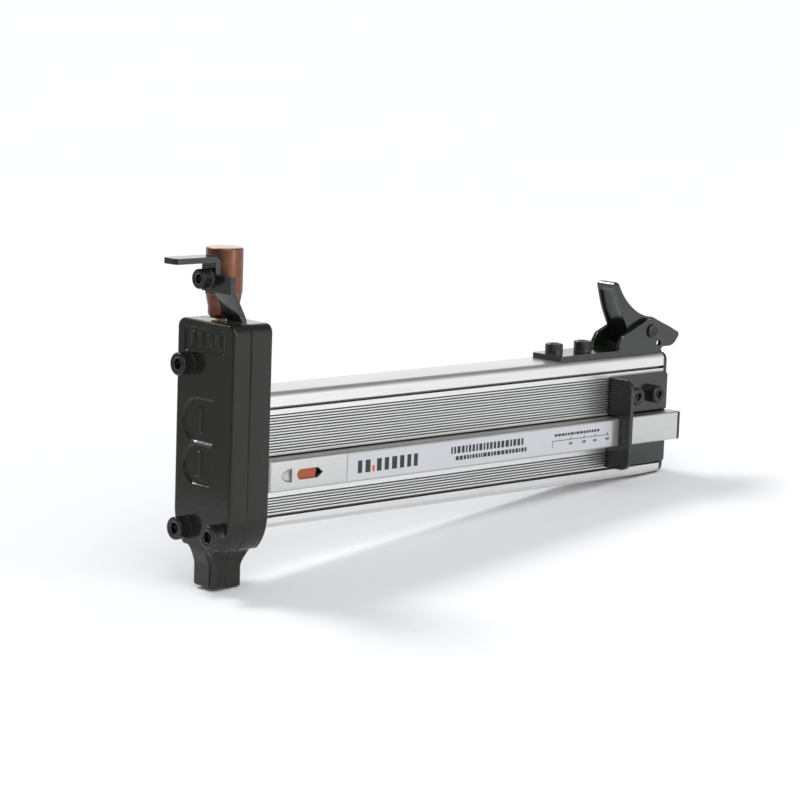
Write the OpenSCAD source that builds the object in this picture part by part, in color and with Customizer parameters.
// Hand-struck driver for strips of steel nails.
// Origin: centre of the nail exit, on the nose's bottom face.
// +Z runs up along the striker, +X runs back along the magazine, -Y is the feed channel's side.

/* [Head] */
// Width of the split head
head_w = 38.3; // [36:0.1:42]
// Height of the head, from the nose's bottom face
head_h = 115; // [110:1:125]
// Thickness of the front half, from the parting plane
front_t = 9.4; // [9:0.1:12]
// Thickness of the rear half, from the parting plane
rear_t = 11.8; // [10:0.1:14]
// Width of the nose
nose_w = 14.8; // [14:0.1:18]
// Height at which the nose widens into the head
nose_h = 17.2; // [15:0.1:20]

/* [Striker] */
// Diameter of the striker cap
cap_d = 16; // [15:0.5:18]
// Height of the striker's top above the nose, at rest
cap_top = 146.3; // [144:0.1:150]
// Diameter of the driver pin
driver_d = 6; // [5:0.5:6.5]
// How far the striker lifts to clear the longest nail
lift = 66; // [50:1:66]

/* [Magazine] */
// Length of the ribbed body
mag_len = 256.2; // [240:0.1:280]
// Width of the ribbed body
mag_w = 24; // [23:0.5:26]
// Height of the ribbed body's bottom face
mag_z0 = 24.5; // [24:0.1:26]
// Height of the ribbed body's top face
mag_z1 = 84; // [82:0.1:86]
// Distance from rib to rib
rib_pitch = 1.23; // [1.2:0.01:1.3]

/* [Feed channel] */
// Height of the channel's section
chan_h = 13.7; // [13:0.1:14]
// Height of the channel's lower edge
chan_z0 = 42.2; // [41.8:0.1:42.4]
// How far the channel's face stands from the centre plane
chan_y = 20; // [19:0.1:20.2]
// How far the channel runs past the end plate
chan_tail = 3; // [3:0.1:8]

/* [Latch] */
// Where the latch bracket starts, from the parting plane
latch_x = 198; // [190:1:200]
// Outer width over the two ears
ear_w = 19; // [18.6:0.2:20]
// Height of the pivot pin
pivot_z = 94.7; // [94:0.1:96]
// Diameter of the lock hole through the ears
lock_d = 3.2; // [3:0.1:3.4]

/* [Hidden] */
$fn = 48;
eps = 0.01;

// Finishes
casting_black = [0.10, 0.105, 0.10];
sheet_black = [0.16, 0.17, 0.165];
screw_black = [0.07, 0.07, 0.075];
bare_steel = [0.62, 0.62, 0.63];
bronze = [0.72, 0.50, 0.26];
copper_brown = [0.45, 0.24, 0.19];
anodised = [0.78, 0.78, 0.76];
channel_silver = [0.80, 0.80, 0.80];
label_grey = [0.78, 0.80, 0.82];
orange = [0.82, 0.32, 0.15];

// Head
half_w = head_w / 2;
head_corner = 4;
shoulder_z = 33;      // where the sides start to curve in
shoulder_r = 22.1;
nose_fillet = 3;
seam = 0.4;           // chamfer depth of the parting seam
edge_step = 0.8;      // first step of the rounded front edge
nose_front = 7.4;
nose_rear = 7.3;
// finger pads on the front face: middle height, radius, straight edge, round edge
finger_pads = [[72.3, 9.4, -6, 14.4], [53.2, 8.7, -4.6, 13.2]];
nose_break = 2.4;     // across the broken corner
head_screw_at = [[11.3, 95.8], [11.3, 24.7], [-11.3, 24.7]];
dowel_at = [[14, 86], [14.5, 42]];
dowel_d = 4;
screw_gap = 0.1;      // added to the diameter of every screw hole
mag_screw_at = [[8, 77], [-8, 77], [9, 33.4], [-9, 33.4]];
drive_r = driver_d / 2 + 0.2;
bush_r = 5;
bush_h = 18;
bush_flange_r = 5.4;
bush_flange_t = 0.3;
sleeve_r = 4.7;
sleeve_top = 24;

// Nail passage
nail_gap = 1.9;       // half width round the shanks
nail_head_gap = 3.4;  // half width round the heads
nail_z0 = 26;
nail_z1 = 62;
nail_head_z = 66.5;

// Lift bracket
sheet = 2.5;
bend_r = 3;           // outer radius of the tab's bend
plate_x = -9.5;
plate_y0 = -6.2;
plate_y1 = 3.3;
wing_y = -16.4;
wing_z0 = 128;
wing_z1 = 135.4;
tab_x = -30.7;
tab_z = 143;
leg_y0 = -16.3;
leg_y1 = -5.8;
leg_x = -2.9;
leg_t = 2.4;
leg_z0 = 37;
leg_bend_z = 116;
pocket_gap = 0.5;
lift_screw_y = -1.5;
lift_screw_z = 133.5;
washer_t = 1;

// Magazine
mag_x0 = rear_t;
mag_x1 = mag_x0 + mag_len;
mag_half = mag_w / 2;
rib_depth = 0.5;
rib_cut = 0.6;
upper_rib_z = 57.7;
upper_ribs = 14;
lower_rib_z = 31.5;
lower_ribs = 6;
groove_z = [77.1, 30.2];
groove_h = 0.9;
groove_depth = 1.1;
cavity_half = 6;
cavity_z0 = 26.5;
cavity_z1 = 68;
slot_z0 = 41.8;
slot_z1 = 56.3;

// Drawer
chan_wall = 1.2;
chan_z1 = chan_z0 + chan_h;
chan_mid = (chan_z0 + chan_z1) / 2;
chan_x0 = mag_x0 + 0.3;
end_x0 = mag_x1 + 0.3;
end_t = 2.3;
chan_x1 = end_x0 + end_t + chan_tail;
chan_end_r = 1.2;
cap_x0 = chan_x1 - 2.5;     // front of the channel's end cap
track_in = 1.7;
track_out = 2.9;
track_z0 = 26.9;
track_z1 = 62.4;
track_x1 = 258;
arm_z0 = 45.5;
arm_z1 = 52.5;
end_top = 85.7;
end_screw_z = [36, 52];
rod_y = -15.6;
rod_d = 3;
window_z = 48.8;

// Pusher
pusher_x0 = 15;
pusher_x1 = 38.5;

// Rear guide
guide_x0 = 230;
guide_x1 = 269.2;
guide_t = 2;
guide_y = -mag_half - guide_t;
flange_y = -26.4;
guide_z0 = 31;
guide_z1 = 74.5;
guide_screw_x = [243.8, 258.4];
guide_screw_z = 65;

// Latch
ear_half = ear_w / 2;
latch_t = 2.5;
ear_t = 2;
pivot_x = 261.5;
pivot_d = 3;
lock_x = 266.6;
lock_z = 88.6;
lever_half = 6.6;
pad_half = 5.6;       // half width at the top of the thumb pad
lever_t = 1.8;
latch_screw_x = [203, 222.6];

// ---- Shared shapes ----

// Places a (Y, Z) outline, extruded towards +X from x0 to x1.
module along_x(x0, x1) {
    translate([x0, 0, 0]) rotate([90, 0, 90]) linear_extrude(x1 - x0) children();
}

// Places an (X, Z) outline, extruded towards +Y from y0 to y1.
module along_y(y0, y1) {
    translate([0, y1, 0]) rotate([90, 0, 0]) linear_extrude(y1 - y0) children();
}

// Box given by its lowest and highest corners.
module block(lo, hi) {
    translate(lo) cube(hi - lo);
}

// Rectangle with round corners, from two bars and four circles, so that its arcs stay true.
module round_rect(lo, hi, r) {
    translate([lo[0] + r, lo[1]]) square([hi[0] - lo[0] - 2 * r, hi[1] - lo[1]]);
    translate([lo[0], lo[1] + r]) square([hi[0] - lo[0], hi[1] - lo[1] - 2 * r]);
    for (u = [lo[0] + r, hi[0] - r], v = [lo[1] + r, hi[1] - r])
        translate([u, v]) circle(r);
}

// Points of the arc that runs from a to c through b.
function arc(a, b, c, n) =
    let (
        d = 2 * (a[0] * (b[1] - c[1]) + b[0] * (c[1] - a[1]) + c[0] * (a[1] - b[1])),
        qa = a * a,
        qb = b * b,
        qc = c * c,
        m = [
            (qa * (b[1] - c[1]) + qb * (c[1] - a[1]) + qc * (a[1] - b[1])) / d,
            (qa * (c[0] - b[0]) + qb * (a[0] - c[0]) + qc * (b[0] - a[0])) / d
        ],
        r = norm(a - m),
        ta = atan2(a[1] - m[1], a[0] - m[0]),
        tc = atan2(c[1] - m[1], c[0] - m[0]),
        turn = tc - ta,
        way = d < 0 ? (turn > 0 ? turn - 360 : turn) : (turn < 0 ? turn + 360 : turn)
    )
    [for (i = [0:n]) m + r * [cos(ta + way * i / n), sin(ta + way * i / n)]];

// Socket head cap screw: head towards +Z with its underside at z = 0, shank towards -Z.
module cap_screw(d, head_d, head_h, key, len) {
    difference() {
        union() {
            cylinder(d = head_d, h = head_h - 0.5);
            translate([0, 0, head_h - 0.5]) cylinder(d1 = head_d, d2 = head_d - 1, h = 0.5);
            translate([0, 0, -len]) cylinder(d = d, h = len + eps);
        }
        translate([0, 0, head_h / 2]) cylinder(d = key / cos(30), h = head_h, $fn = 6);
    }
}

// Round hole along X.
module bore_x(y, z, d, x0, x1) {
    translate([x0, y, z]) rotate([0, 90, 0]) cylinder(d = d, h = x1 - x0);
}

// Round hole along Y.
module bore_y(x, z, d, y0, y1) {
    translate([x, y1, z]) rotate([90, 0, 0]) cylinder(d = d, h = y1 - y0);
}

// Wire coil round the Z axis: a closed tube swept along a helix.
module coil(r, wire, turns, pitch, per_turn, sides) {
    n = turns * per_turn;
    ring = [
        for (i = [0:n], k = [0:sides - 1])
            let (t = 360 * i / per_turn, a = 360 * k / sides, q = r + wire / 2 * cos(a))
            [q * cos(t), q * sin(t), pitch * i / per_turn + wire / 2 * sin(a)]
    ];
    skin = [
        for (i = [0:n - 1], k = [0:sides - 1])
            let (m = (k + 1) % sides)
            [i * sides + k, (i + 1) * sides + k, (i + 1) * sides + m, i * sides + m]
    ];
    first = [for (k = [0:sides - 1]) k];
    last = [for (k = [sides - 1:-1:0]) n * sides + k];
    polyhedron(ring, concat([first], skin, [last]), convexity = 10);
}

// ---- Head ----

// Outline of the head in (Y, Z), drawn in by d all round.
module head_outline(d) {
    w = half_w - d;
    top = head_h - d;
    r = head_corner - d;
    round_rect([-w, shoulder_z], [w, top], r);
    translate([-w, shoulder_z]) square([2 * w, head_corner + 1]);
    for (s = [0, 1]) mirror([s, 0]) {
        intersection() {
            translate([-eps, nose_h + d]) square([w + eps, shoulder_z - nose_h - d + eps]);
            translate([half_w - shoulder_r, shoulder_z]) circle(shoulder_r - d, $fn = 96);
        }
        difference() {
            translate([nose_w / 2 - d - eps, nose_h - nose_fillet + d])
                square([nose_fillet + eps, nose_fillet + eps]);
            translate([nose_w / 2 - d + nose_fillet, nose_h - nose_fillet + d]) circle(nose_fillet);
        }
    }
    translate([-nose_w / 2 + d, 0]) square([nose_w - 2 * d, nose_h + d + eps]);
}

// Side profile of one half, in (X, Z): s is -1 for the front half and +1 for the rear one.
module half_profile(s, t, nose) {
    polygon([
        [0, 0], [s * nose, 0], [s * nose, nose_h - 7.5], [s * (nose + 0.8), nose_h - 3.4],
        [s * t, nose_h - 0.2], [s * t, head_h], [0, head_h]
    ]);
}

// Solid half with a chamfered seam at the parting plane and a stepped outer edge.
module half_block(s, t, nose) {
    intersection() {
        mirror([s < 0 ? 1 : 0, 0, 0]) {
            along_x(0, seam) head_outline(seam);
            along_x(seam - eps, t - 2 * edge_step) head_outline(0);
            along_x(t - 2 * edge_step - eps, t - edge_step) head_outline(edge_step / 4);
            along_x(t - edge_step - eps, t) head_outline(edge_step);
        }
        along_y(-half_w, half_w) half_profile(s, t, nose);
    }
}

// Everything that runs down the parting plane: drive bore, bush seat and sleeve seat.
module drive_line() {
    translate([0, 0, -1]) cylinder(r = drive_r, h = head_h + 2);
    translate([0, 0, head_h - bush_h]) cylinder(r = bush_r, h = bush_h + 1);
    translate([0, 0, -1]) cylinder(r = sleeve_r, h = sleeve_top + 1);
}

module head_front_half() {
    color(casting_black) difference() {
        half_block(-1, front_t, nose_front);
        drive_line();
        // pocket for the lift bracket's leg
        block([leg_x - pocket_gap, leg_y0 - pocket_gap, leg_z0 - 3],
              [1, leg_y1 + pocket_gap / 2, head_h + 1]);
        for (p = head_screw_at) bore_x(p[0], p[1], 6 + screw_gap, -front_t - 1, 1);
        for (p = dowel_at) bore_x(p[0], p[1], dowel_d, -5, 1);
        // broken front corner of the nose, on the feed channel's side
        translate([-nose_front, -nose_w / 2, -1]) rotate([0, 0, 45])
            translate([-nose_break / 2, -5, 0]) cube([nose_break, 10, nose_h - 3]);
        // shallow panels on the front face
        along_x(-front_t - 1, -front_t + 0.8) round_rect([-12.2, 101.6], [14, 112], 1.5);
        for (p = finger_pads) along_x(-front_t - 1, -front_t + 1) difference() {
            union() {
                translate([p[3] - p[1], p[0]]) circle(p[1]);
                translate([p[2], p[0] - p[1]]) square([p[3] - p[1] - p[2], 2 * p[1]]);
            }
            round_rect([2.2, p[0] - 5.6], [5, p[0] + 5.6], 0.6);
            translate([-front_t, p[0] - 20]) square([front_t + p[2], 40]);
        }
    }
    // plain bars in the upper panel
    color(casting_black) for (i = [0:3])
        along_x(-front_t, -front_t + 1) round_rect([-9.6 + i * 5.6, 103.6], [-6.6 + i * 5.6, 110], 1);
}

module head_rear_half() {
    color(casting_black) difference() {
        half_block(1, rear_t, nose_rear);
        drive_line();
        // nail feed slot, wider where the heads pass
        block([0, -nail_gap, nail_z0], [rear_t + 1, nail_gap, nail_z1]);
        block([0, -nail_head_gap, nail_z1 - eps], [rear_t + 1, nail_head_gap, nail_head_z]);
        for (p = head_screw_at) bore_x(p[0], p[1], 6 + screw_gap, -1, 9.5);
        for (p = dowel_at) bore_x(p[0], p[1], dowel_d, -1, 5);
        for (p = mag_screw_at) {
            bore_x(p[0], p[1], 4 + screw_gap, -1, rear_t + 1);
            bore_x(p[0], p[1], 7.2, -1, 4.4);
        }
    }
}

module head_screws() {
    color(screw_black) for (p = head_screw_at)
        translate([-front_t, p[0], p[1]]) rotate([0, -90, 0]) cap_screw(6, 10, 6, 5, 18);
}

module dowel_pins() {
    color(bare_steel) for (p = dowel_at) bore_x(p[0], p[1], dowel_d, -4.8, 4.8);
}

module guide_bush() {
    color(bronze) difference() {
        union() {
            translate([0, 0, head_h - bush_h]) cylinder(r = bush_r, h = bush_h);
            translate([0, 0, head_h]) cylinder(r = bush_flange_r, h = bush_flange_t);
        }
        translate([0, 0, head_h - bush_h - 1]) cylinder(d = driver_d + 0.1, h = bush_h + 3);
    }
}

module drive_sleeve() {
    color(bare_steel) difference() {
        cylinder(r = sleeve_r, h = sleeve_top);
        translate([0, 0, -1]) cylinder(r = drive_r, h = sleeve_top + 2);
    }
}

// ---- Striker ----

module striker() {
    color(copper_brown) difference() {
        rotate_extrude() polygon([
            [0, 116.1], [5.2, 116.1], [6.6, 118], [6.6, 121], [cap_d / 2, 127.5],
            [cap_d / 2, cap_top - 0.9], [cap_d / 2 - 0.9, cap_top], [0, cap_top]
        ]);
        // bore for the driver pin
        translate([0, 0, 115]) cylinder(d = driver_d + 0.05, h = 13);
        // seat for the bracket, and a flat that clears its leg
        block([-20, -20, 126.5], [plate_x + sheet, 20, tab_z + 0.3]);
        block([-20, -20, 115], [20, -4.2, 126.5]);
        bore_x(lift_screw_y, lift_screw_z, 5 + screw_gap, -20, 1.2);
    }
}

module driver_pin() {
    color(bare_steel) translate([0, 0, 0.4]) cylinder(d = driver_d, h = 127.6);
}

module lift_bracket() {
    back = plate_x + sheet;
    color(sheet_black) difference() {
        union() {
            // thumb tab with round corners
            translate([0, 0, tab_z - sheet]) linear_extrude(sheet) {
                round_rect([tab_x, plate_y0], [tab_x + 8, plate_y1], 2);
                translate([tab_x + 4, plate_y0])
                    square([back - bend_r - tab_x - 4, plate_y1 - plate_y0]);
            }
            // bend
            along_y(plate_y0, plate_y1) intersection() {
                translate([back - bend_r - eps, tab_z - bend_r - eps])
                    square([bend_r + eps, bend_r + eps]);
                difference() {
                    translate([back - bend_r, tab_z - bend_r]) circle(bend_r);
                    translate([back - bend_r, tab_z - bend_r]) circle(bend_r - sheet);
                }
            }
            // upright plate and its wing
            block([plate_x, plate_y0, wing_z0], [back, plate_y1, tab_z - bend_r]);
            block([plate_x, wing_y, wing_z0], [back, plate_y1, wing_z1]);
            // leg that slants into the head and keeps the striker from turning
            along_y(leg_y0, leg_y1) polygon([
                [plate_x, wing_z0 + 1], [plate_x, wing_z0], [leg_x, leg_bend_z], [leg_x, leg_z0],
                [leg_x + leg_t, leg_z0], [leg_x + leg_t, leg_bend_z + 0.9], [back, wing_z0 + 1]
            ]);
        }
        bore_x(lift_screw_y, lift_screw_z, 5 + screw_gap, -20, 0);
    }
}

module lift_bracket_screw() {
    color(screw_black) translate([plate_x - washer_t, lift_screw_y, lift_screw_z])
        rotate([0, -90, 0]) cap_screw(5, 8.5, 5, 4, 11);
}

module lift_bracket_washer() {
    color(screw_black) difference() {
        bore_x(lift_screw_y, lift_screw_z, 8.8, plate_x - washer_t, plate_x);
        bore_x(lift_screw_y, lift_screw_z, 5 + screw_gap, plate_x - 2, plate_x + 1);
    }
}

// ---- Magazine ----

module magazine_section() {
    difference() {
        round_rect([-mag_half, mag_z0], [mag_half, mag_z1], 2.8);
        for (s = [0, 1]) mirror([s, 0]) {
            for (z = groove_z)
                translate([mag_half - groove_depth, z - groove_h / 2]) square([3, groove_h]);
            for (i = [0:upper_ribs - 1])
                translate([mag_half - rib_depth, upper_rib_z + i * rib_pitch]) square([2, rib_cut]);
            for (i = [0:lower_ribs - 1])
                translate([mag_half - rib_depth, lower_rib_z + i * rib_pitch]) square([2, rib_cut]);
        }
        // drawer cavity and the slot for the feed channel
        translate([-cavity_half, cavity_z0]) square([2 * cavity_half, cavity_z1 - cavity_z0]);
        translate([-mag_half - 1, slot_z0]) square([mag_half, slot_z1 - slot_z0]);
        // upper chamber
        round_rect([-4.3, 70.5], [4.3, 80], 1);
    }
}

module magazine_body() {
    color(anodised) difference() {
        along_x(mag_x0, mag_x1) magazine_section();
        for (p = mag_screw_at) bore_x(p[0], p[1], 4 + screw_gap, mag_x0 - 1, mag_x0 + 14);
        for (x = latch_screw_x) translate([x, 0, 79]) cylinder(d = 5 + screw_gap, h = 8);
        for (x = guide_screw_x)
            bore_y(x, guide_screw_z, 5 + screw_gap, -mag_half - 1, -cavity_half + 1);
    }
}

module magazine_screws() {
    color(screw_black) for (p = mag_screw_at)
        translate([4.4, p[0], p[1]]) rotate([0, -90, 0]) cap_screw(4, 7, 4, 3, 18);
}

// ---- Rear guide ----

// Outline of the side plate in (X, Z): two lobes with the feed channel's path between them.
module guide_lobes() {
    difference() {
        round_rect([guide_x0, guide_z0], [guide_x1, guide_z1], 1.2);
        translate([guide_x0 - 1, slot_z0]) square([60, slot_z1 - slot_z0 + 0.4]);
    }
}

module rear_guide_bracket() {
    color(sheet_black) difference() {
        union() {
            along_y(guide_y, -mag_half) guide_lobes();
            along_x(guide_x0, guide_x0 + guide_t) difference() {
                union() {
                    round_rect([flange_y, guide_z0], [-mag_half, guide_z1], 5);
                    translate([guide_y - 6, guide_z0]) square([8, guide_z1 - guide_z0]);
                }
                translate([-chan_y - 0.5, slot_z0]) square([20, slot_z1 - slot_z0 + 0.4]);
            }
        }
        for (x = guide_screw_x) bore_y(x, guide_screw_z, 5 + screw_gap, guide_y - 1, 0);
    }
}

module guide_bracket_screws() {
    color(screw_black) for (x = guide_screw_x)
        translate([x, guide_y, guide_screw_z]) rotate([90, 0, 0]) cap_screw(5, 8.5, 5, 4, 7.5);
}

// ---- Latch ----

// Ear outline in (X, Z).
module ear_outline() {
    difference() {
        union() {
            polygon(concat(
                [[238.5, mag_z1], [238.5, 89.2], [241.2, 93.4]],
                arc([256.5, 99.6], [261.5, 100.6], [266, 97.2], 6),
                [[266, 91.5]],
                arc([269.6, 89.8], [270.2, 88], [269.3, mag_z1 + 2.3], 4),
                [[266.6, mag_z1]]
            ));
        }
        translate([pivot_x, pivot_z]) circle(d = pivot_d);
        translate([lock_x, lock_z]) circle(d = lock_d);
    }
}

module latch_bracket() {
    color(sheet_black) difference() {
        union() {
            translate([0, 0, mag_z1]) linear_extrude(latch_t)
                round_rect([latch_x, -ear_half], [266, ear_half], 1);
            along_y(-ear_half, -ear_half + ear_t) ear_outline();
            along_y(ear_half - ear_t, ear_half) ear_outline();
        }
        // opening under the lever
        block([243, -ear_half + ear_t, mag_z1 - 1], [280, ear_half - ear_t, mag_z1 + 9]);
        for (x = latch_screw_x) translate([x, 0, mag_z1 - 1]) cylinder(d = 5 + screw_gap, h = 5);
    }
}

module latch_bracket_screws() {
    color(screw_black) for (x = latch_screw_x)
        translate([x, 0, mag_z1 + latch_t]) cap_screw(5, 8.5, 5, 4, 7);
}

module latch_pivot_pin() {
    color(screw_black) {
        bore_y(pivot_x, pivot_z, pivot_d, -ear_half, ear_half + 1.6);
        bore_y(pivot_x, pivot_z, 6.6, -ear_half - 1.2, -ear_half);
        bore_y(pivot_x, pivot_z, 5.4, -ear_half - 1.7, -ear_half - 1.2 + eps);
    }
}

module latch_pin_clip() {
    color(bare_steel) difference() {
        bore_y(pivot_x, pivot_z, 6.4, ear_half, ear_half + 0.8);
        bore_y(pivot_x, pivot_z, pivot_d, 0, 20);
        block([pivot_x - 0.9, 0, pivot_z], [pivot_x + 0.9, 20, pivot_z + 5]);
    }
}

module latch_spring() {
    color(bare_steel) translate([pivot_x, -3.4, pivot_z]) rotate([-90, 0, 0])
        coil(2.5, 0.9, 6, 1.12, 16, 6);
}

// Side outline of the lever in (X, Z): thumb pad at the front, tail at the rear.
module lever_outline() {
    polygon(concat(
        arc([249.5, 91.8], [242.2, 105], [237, 117.4], 10),
        arc([237, 118.2], [238.6, 119.3], [240.8, 117.6], 5),
        arc([241.4, 116.4], [249.8, 106.5], [264.3, 101.2], 12),
        [[273, 97.4]],
        arc([282.6, 93.2], [284.2, 91.6], [283.4, 89.8], 5),
        arc([281.8, 88], [280, 86.7], [277.4, 86.1], 4),
        [[262, 86.1], [254, 88]]
    ));
}

// Front view of the lever in (Y, Z), d narrower on each side: it tapers towards the thumb pad's top.
module lever_front(d) {
    polygon([
        [-lever_half + d, 80], [lever_half - d, 80], [lever_half - d, 106], [pad_half - d, 118],
        [pad_half - d, 130], [-pad_half + d, 130], [-pad_half + d, 118], [-lever_half + d, 106]
    ]);
}

module latch_lever() {
    color(sheet_black) difference() {
        intersection() {
            along_y(-lever_half, lever_half) lever_outline();
            along_x(220, 290) lever_front(0);
        }
        // hollow between the side plates, open at the back and below
        intersection() {
            along_y(-lever_half, lever_half) translate([2.4, -1.4]) polygon(concat(
                arc([249.5, 91.8], [242.2, 105], [237, 117.4], 10),
                [[250, 130], [300, 130], [300, 70], [252, 70]]
            ));
            along_x(220, 300) lever_front(lever_t);
        }
        bore_y(pivot_x, pivot_z, pivot_d + 0.1, -20, 20);
        // slot for the lock pin
        for (dx = [0, 4]) bore_y(lock_x + dx, lock_z - dx / 16, lock_d + 0.6, -20, 20);
        block([lock_x, -20, lock_z - 1.9], [lock_x + 4, 20, lock_z + 1.65]);
    }
}

// ---- Drawer ----

// Plan outline of the channel's outer box in (X, Y), with a rounded rear end.
module channel_plan() {
    difference() {
        translate([chan_x0, -chan_y]) square([chan_x1 - chan_x0, chan_y - mag_half - 0.3]);
        difference() {
            translate([chan_x1 - chan_end_r, -chan_y - 1]) square([chan_end_r + 1, chan_end_r + 1]);
            translate([chan_x1 - chan_end_r, -chan_y + chan_end_r]) circle(chan_end_r);
        }
    }
}

module channel_window() {
    translate([29, window_z]) circle(2.25);
    polygon([
        [29, window_z - 2.25], [38.6, window_z - 2.25], [41.4, window_z],
        [38.6, window_z + 2.25], [29, window_z + 2.25]
    ]);
}

// Finger notch outline in (X, Z): half an oval, straight at its rear edge.
module notch_outline() {
    polygon(concat(
        arc([23.8, window_z + 2.95], [19.7, window_z + 2.15], [17.9, window_z], 8),
        arc([17.9, window_z], [19.7, window_z - 2.15], [23.8, window_z - 2.95], 8)
    ));
}

module feed_channel() {
    color(channel_silver) difference() {
        union() {
            intersection() {
                translate([0, 0, chan_z0]) linear_extrude(chan_h) channel_plan();
                block([0, -chan_y - 1, 0], [cap_x0, 0, 100]);
            }
            // webs that reach through the slot to the nail track
            for (z = [chan_z0, chan_z1 - chan_wall])
                block([chan_x0, -mag_half - 1, z], [mag_x1, -track_out, z + chan_wall]);
        }
        block([chan_x0 - 1, -chan_y + chan_wall, chan_z0 + chan_wall],
              [chan_x1, 0, chan_z1 - chan_wall]);
        along_y(-chan_y - 1, -chan_y + 2) channel_window();
        along_y(-chan_y - 1, -chan_y + 0.8) notch_outline();
    }
}

module channel_end_cap() {
    color(sheet_black) intersection() {
        translate([0, 0, chan_z0]) linear_extrude(chan_h) channel_plan();
        along_y(-chan_y - 1, 0) round_rect([cap_x0 - 6, chan_z0], [chan_x1, chan_z1], 1.8);
        block([cap_x0, -chan_y - 1, 0], [chan_x1, 0, 100]);
    }
}

module channel_label() {
    color(label_grey) block([55.5, -chan_y - 0.2, chan_z0 + 0.9], [224.5, -chan_y, chan_z1 - 0.9]);
}

module nail_track() {
    color(bare_steel) difference() {
        block([chan_x0, -track_out, track_z0], [track_x1, track_out, track_z1]);
        block([chan_x0 - 1, -track_in, track_z0 + 1.1], [track_x1 + 1, track_in, track_z1 + 1]);
        // slot that the pusher's arm runs in
        block([chan_x0 + 1, -track_out - 1, arm_z0], [track_x1 - 4, 0, arm_z1]);
    }
}

module track_end_block() {
    color(bare_steel) difference() {
        block([track_x1, -track_out, track_z0], [end_x0, 5, 60]);
        for (z = end_screw_z) bore_x(1, z, 3 + screw_gap, track_x1 + 1, end_x0 + 1);
    }
}

module end_plate() {
    color(sheet_black) difference() {
        along_x(end_x0, end_x0 + end_t) {
            round_rect([-mag_half + 0.2, mag_z0 + 0.2], [mag_half - 0.2, mag_z1], 4);
            round_rect([-8, 60], [8, end_top], 1.5);
        }
        for (z = end_screw_z) bore_x(1, z, 3 + screw_gap, end_x0 - 1, end_x0 + end_t + 1);
    }
}

module end_plate_screws() {
    color(screw_black) for (z = end_screw_z)
        translate([end_x0 + end_t, 1, z]) rotate([0, 90, 0]) cap_screw(3, 5.5, 1.8, 2, 9);
}

module spring_guide_rod() {
    color(bare_steel) bore_x(rod_y, chan_mid, rod_d, chan_x0 + 0.4, cap_x0);
}

module rod_holder() {
    color(bare_steel) difference() {
        block([chan_x0 + 0.4, -chan_y + chan_wall, chan_z0 + chan_wall],
              [chan_x0 + 2, -mag_half - 1, chan_z1 - chan_wall]);
        bore_x(rod_y, chan_mid, rod_d, chan_x0 - 1, chan_x0 + 5);
    }
}

// ---- Pusher ----

module pusher() {
    color(orange) difference() {
        union() {
            block([pusher_x0, -chan_y + chan_wall + 0.3, chan_z0 + chan_wall + 0.4],
                  [pusher_x1, -mag_half - 0.4, chan_z1 - chan_wall - 0.4]);
            // arm that reaches through the track's slot
            block([pusher_x0 + 2, -mag_half - 1, arm_z0 + 0.5], [pusher_x0 + 14, -1.3, arm_z1 - 0.5]);
        }
        bore_x(rod_y, chan_mid, rod_d + 0.2, 0, 60);
        bore_y(pusher_x0 + 8, window_z + 0.2, 2, -6, 0);
    }
}

module pusher_blade() {
    color(bare_steel) difference() {
        union() {
            block([3.6, -1.3, 29], [pusher_x0 + 15, 1.3, 61.6]);
            block([3.6, -1.3, 61], [pusher_x0 + 6, 1.3, 63]);
            block([3.6, -2.8, 62.8], [pusher_x0 + 6, 2.8, 66]);
        }
        bore_y(pusher_x0 + 8, window_z + 0.2, 2, -2, 2);
    }
}

module pusher_pin() {
    color(bare_steel) bore_y(pusher_x0 + 8, window_z + 0.2, 2, -6, 1.3);
}

module pusher_spring() {
    turns = 30;
    color(bare_steel) translate([pusher_x1 + 0.6, rod_y, chan_mid]) rotate([0, 90, 0])
        coil(2.6, 0.9, turns, (cap_x0 - pusher_x1 - 1.4) / turns, 10, 4);
}

head_front_half();
head_rear_half();
head_screws();
dowel_pins();
guide_bush();
drive_sleeve();
magazine_body();
magazine_screws();
rear_guide_bracket();
guide_bracket_screws();
latch_bracket();
latch_bracket_screws();
latch_pivot_pin();
latch_pin_clip();
latch_spring();
latch_lever();
striker();
driver_pin();
lift_bracket();
lift_bracket_screw();
lift_bracket_washer();
feed_channel();
channel_end_cap();
channel_label();
nail_track();
track_end_block();
end_plate();
end_plate_screws();
spring_guide_rod();
rod_holder();
pusher();
pusher_blade();
pusher_pin();
pusher_spring();
